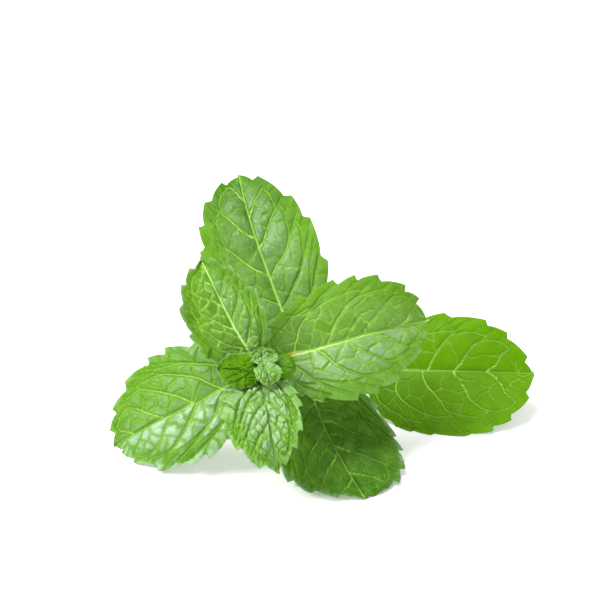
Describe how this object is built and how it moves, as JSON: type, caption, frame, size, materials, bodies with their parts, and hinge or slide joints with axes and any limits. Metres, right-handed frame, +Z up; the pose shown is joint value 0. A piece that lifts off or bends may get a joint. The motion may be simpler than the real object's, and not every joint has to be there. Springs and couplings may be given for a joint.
{
  "type": "spearmint sprig",
  "caption": "Cut leafy tip of spearmint lying on a surface: toothed, quilted leaves in crossed opposite pairs on a square stem, with a folded bud at its growing tip.",
  "frame": {"origin": "centre of the sprig's bounding box, at the surface it lies on", "axes": "+X from the left leaf's tip towards the far right leaf's tip, +Y from the growing tip back towards the cut end, +Z up"},
  "size_m": [0.1194, 0.0791, 0.0636],
  "materials": {
    "leaf": "fresh leaf blade: satin, quilted between pale veins, paler and duller below",
    "young_leaf": "tender young leaf: finely puckered, satin, yellow-green",
    "stem": "square herb stem and leaf stalks: satin, finely ridged lengthwise"
  },
  "bodies": {
    "root": {"stem": "stem", "leaf_far_right": "leaf", "leaf_back": "leaf", "leaf_low_front": "leaf", "leaf_right": "leaf", "leaf_left": "leaf", "leaf_upper_left": "leaf", "leaf_front": "leaf", "young_leaf_left": "young_leaf", "young_leaf_right": "young_leaf", "terminal_bud": "young_leaf"}
  },
  "joints": []
}
